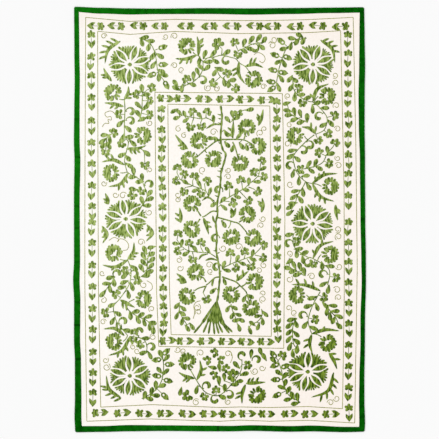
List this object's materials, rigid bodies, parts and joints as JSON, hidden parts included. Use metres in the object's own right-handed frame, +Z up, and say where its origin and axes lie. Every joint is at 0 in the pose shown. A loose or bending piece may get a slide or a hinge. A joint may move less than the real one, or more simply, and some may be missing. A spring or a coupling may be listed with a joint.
{
  "type": "suzani blanket",
  "caption": "Flat rectangular cotton blanket, embroidered with a flowering tree inside leafy borders, with a folded cloth binding along every edge.",
  "frame": {"origin": "on the surface that the blanket rests on, under the middle of its outline", "axes": "+X across the width, +Y along the length towards the crown of the embroidered tree, +Z up out of the embroidered face"},
  "size_m": [1.5138, 2.2, 0.005],
  "materials": {
    "ground": "matte",
    "binding": "matte",
    "embroidery": "satin"
  },
  "bodies": {
    "root": {"ground_cloth": "ground", "binding_top": "binding", "binding_bottom": "binding", "binding_left": "binding", "binding_right": "binding"}
  },
  "joints": []
}
